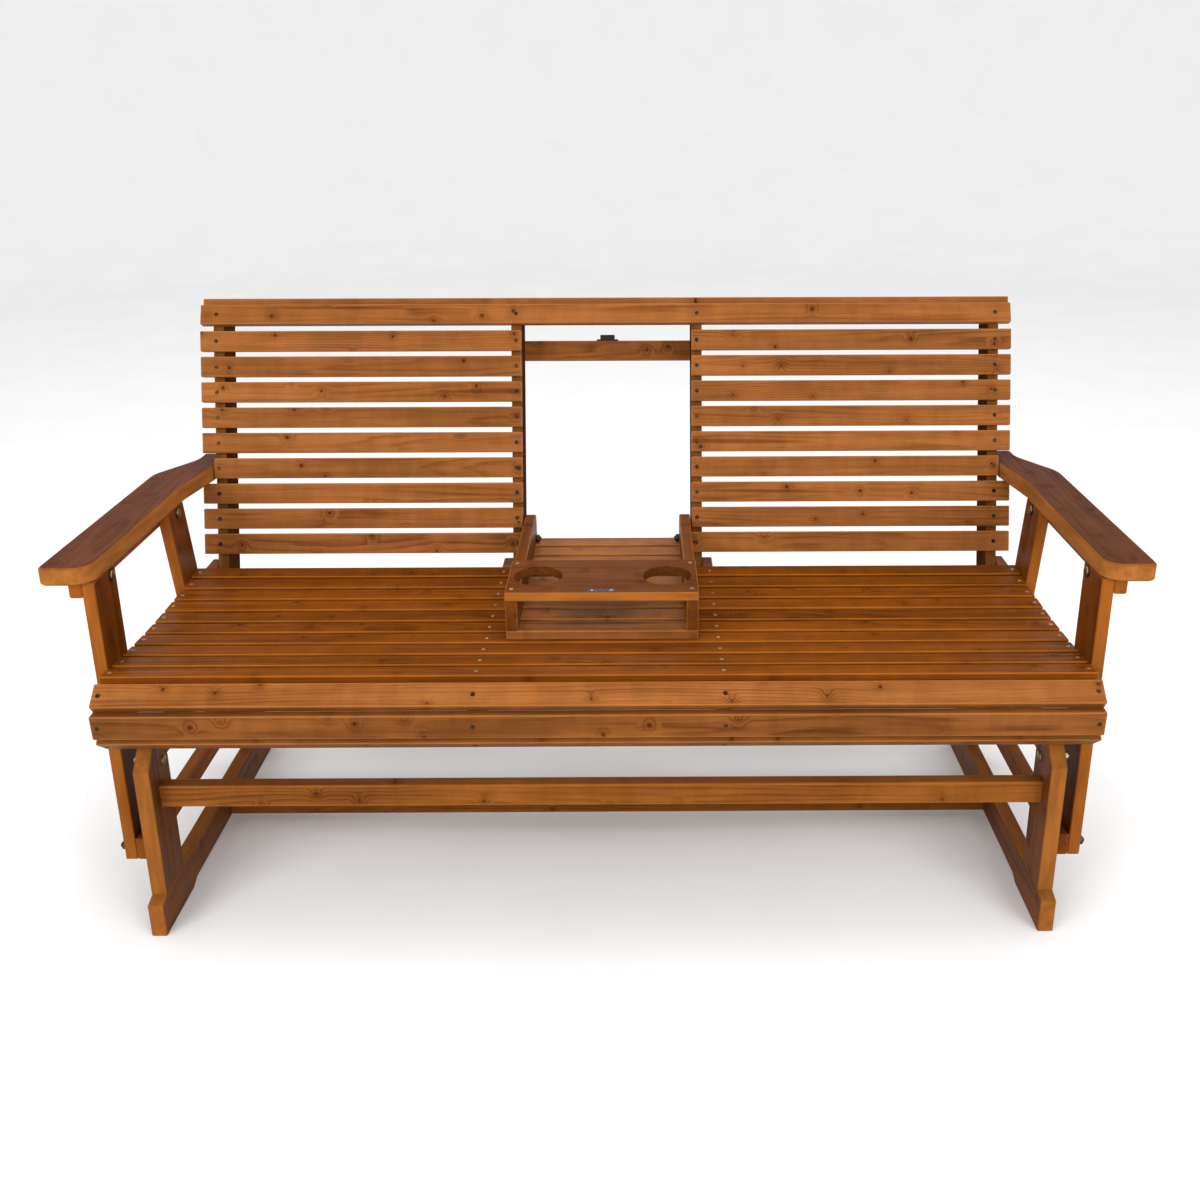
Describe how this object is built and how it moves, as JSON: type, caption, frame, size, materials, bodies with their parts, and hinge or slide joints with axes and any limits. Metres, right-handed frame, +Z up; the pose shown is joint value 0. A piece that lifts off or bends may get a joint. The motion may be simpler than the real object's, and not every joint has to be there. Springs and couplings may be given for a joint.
{
  "type": "glider bench",
  "caption": "Wooden porch glider bench: slatted seat and rolled back hang on steel swing arms from a low base, with a cup console that folds down from the middle of the back.",
  "frame": {"origin": "on the floor, in the middle of the bench's width and of its whole depth", "axes": "+X to the right of someone who looks at the front, +Y from the front to the back, +Z up"},
  "size_m": [1.68, 0.784, 0.9095],
  "materials": {
    "base_wood": "satin stained",
    "frame_wood": "satin stained",
    "seat_wood": "satin stained",
    "back_wood": "satin stained",
    "head_wood": "satin stained",
    "armrest_wood": "satin stained",
    "console_wood": "satin stained",
    "arm_steel": "satin",
    "bolt_steel": "zinc plated",
    "strike_steel": "darkened",
    "catch_plastic": "moulded"
  },
  "bodies": {
    "base": {"base_runner_left": "base_wood", "base_runner_right": "base_wood", "base_front_leg_left": "base_wood", "base_front_leg_right": "base_wood", "base_rear_leg_left": "base_wood", "base_rear_leg_right": "base_wood", "base_side_rail_left": "base_wood", "base_side_rail_right": "base_wood", "base_front_stretcher": "base_wood", "base_rear_stretcher": "base_wood", "base_low_stretcher": "base_wood", "base_pivot_bolts": "bolt_steel"},
    "swing_arm_front_right": {"swing_arm_front_right": "arm_steel"},
    "swing_arm_front_left": {"swing_arm_front_left": "arm_steel"},
    "swing_arm_rear_right": {"swing_arm_rear_right": "arm_steel"},
    "swing_arm_rear_left": {"swing_arm_rear_left": "arm_steel"},
    "seat": {"hanger_rail_left": "frame_wood", "hanger_rail_right": "frame_wood", "arm_post_front_left": "frame_wood", "arm_post_front_right": "frame_wood", "arm_post_rear_left": "frame_wood", "arm_post_rear_right": "frame_wood", "arm_rail_left": "frame_wood", "arm_rail_right": "frame_wood", "armrest_left": "armrest_wood", "armrest_right": "armrest_wood", "seat_pivot_bolts": "bolt_steel", "seat_support_inner_left": "frame_wood", "seat_support_inner_right": "frame_wood", "seat_support_outer_left": "frame_wood", "seat_support_outer_right": "frame_wood", "seat_slat_01": "seat_wood", "seat_slat_02": "seat_wood", "seat_slat_03": "seat_wood", "seat_slat_04": "seat_wood", "seat_slat_05": "seat_wood", "seat_slat_06": "seat_wood", "seat_slat_07": "seat_wood", "seat_slat_08": "seat_wood", "seat_slat_09": "seat_wood", "seat_slat_10": "seat_wood", "front_slat_upper": "seat_wood", "front_slat_middle": "seat_wood", "front_slat_lower": "seat_wood", "back_post_inner_left": "frame_wood", "back_post_inner_right": "frame_wood", "back_post_outer_left": "frame_wood", "back_post_outer_right": "frame_wood", "back_slats_left": "back_wood", "back_slats_right": "back_wood", "back_top_rail": "head_wood", "back_cap": "head_wood", "console_pivot_bolts": "bolt_steel", "catch_rail": "back_wood", "magnetic_catch": "catch_plastic"},
    "console": {"console_slats": "back_wood", "console_rail_left": "console_wood", "console_rail_right": "console_wood", "cup_plank": "console_wood", "strike_plate": "strike_steel"}
  },
  "joints": [
    {"name": "glide", "type": "hinge", "parent": "base", "child": "swing_arm_rear_left", "pos_m": [-0.7375, 0.1699, 0.2755], "axis": [1, 0, 0], "range_deg": [-18, 18]},
    {"name": "seat_hang", "type": "hinge", "parent": "swing_arm_rear_left", "child": "seat", "pos_m": [-0.7375, 0.1699, 0.118], "axis": [1, 0, 0], "range_deg": [-18, 18]},
    {"name": "glide_rear_right", "type": "hinge", "parent": "base", "child": "swing_arm_rear_right", "pos_m": [0.7375, 0.1699, 0.2755], "axis": [1, 0, 0], "range_deg": [-18, 18]},
    {"name": "glide_front_left", "type": "hinge", "parent": "base", "child": "swing_arm_front_left", "pos_m": [-0.7375, -0.2901, 0.2755], "axis": [1, 0, 0], "range_deg": [-18, 18]},
    {"name": "glide_front_right", "type": "hinge", "parent": "base", "child": "swing_arm_front_right", "pos_m": [0.7375, -0.2901, 0.2755], "axis": [1, 0, 0], "range_deg": [-18, 18]},
    {"name": "console_fold", "type": "hinge", "parent": "seat", "child": "console", "pos_m": [0, 0.20365, 0.47332], "axis": [-1, 0, 0], "range_deg": [0, 108.7]}
  ],
  "couplings": [
    {"joint": "seat_hang", "follows": "glide", "ratio": -1},
    {"joint": "glide_rear_right", "follows": "glide", "ratio": 1},
    {"joint": "glide_front_left", "follows": "glide", "ratio": 1},
    {"joint": "glide_front_right", "follows": "glide", "ratio": 1}
  ]
}
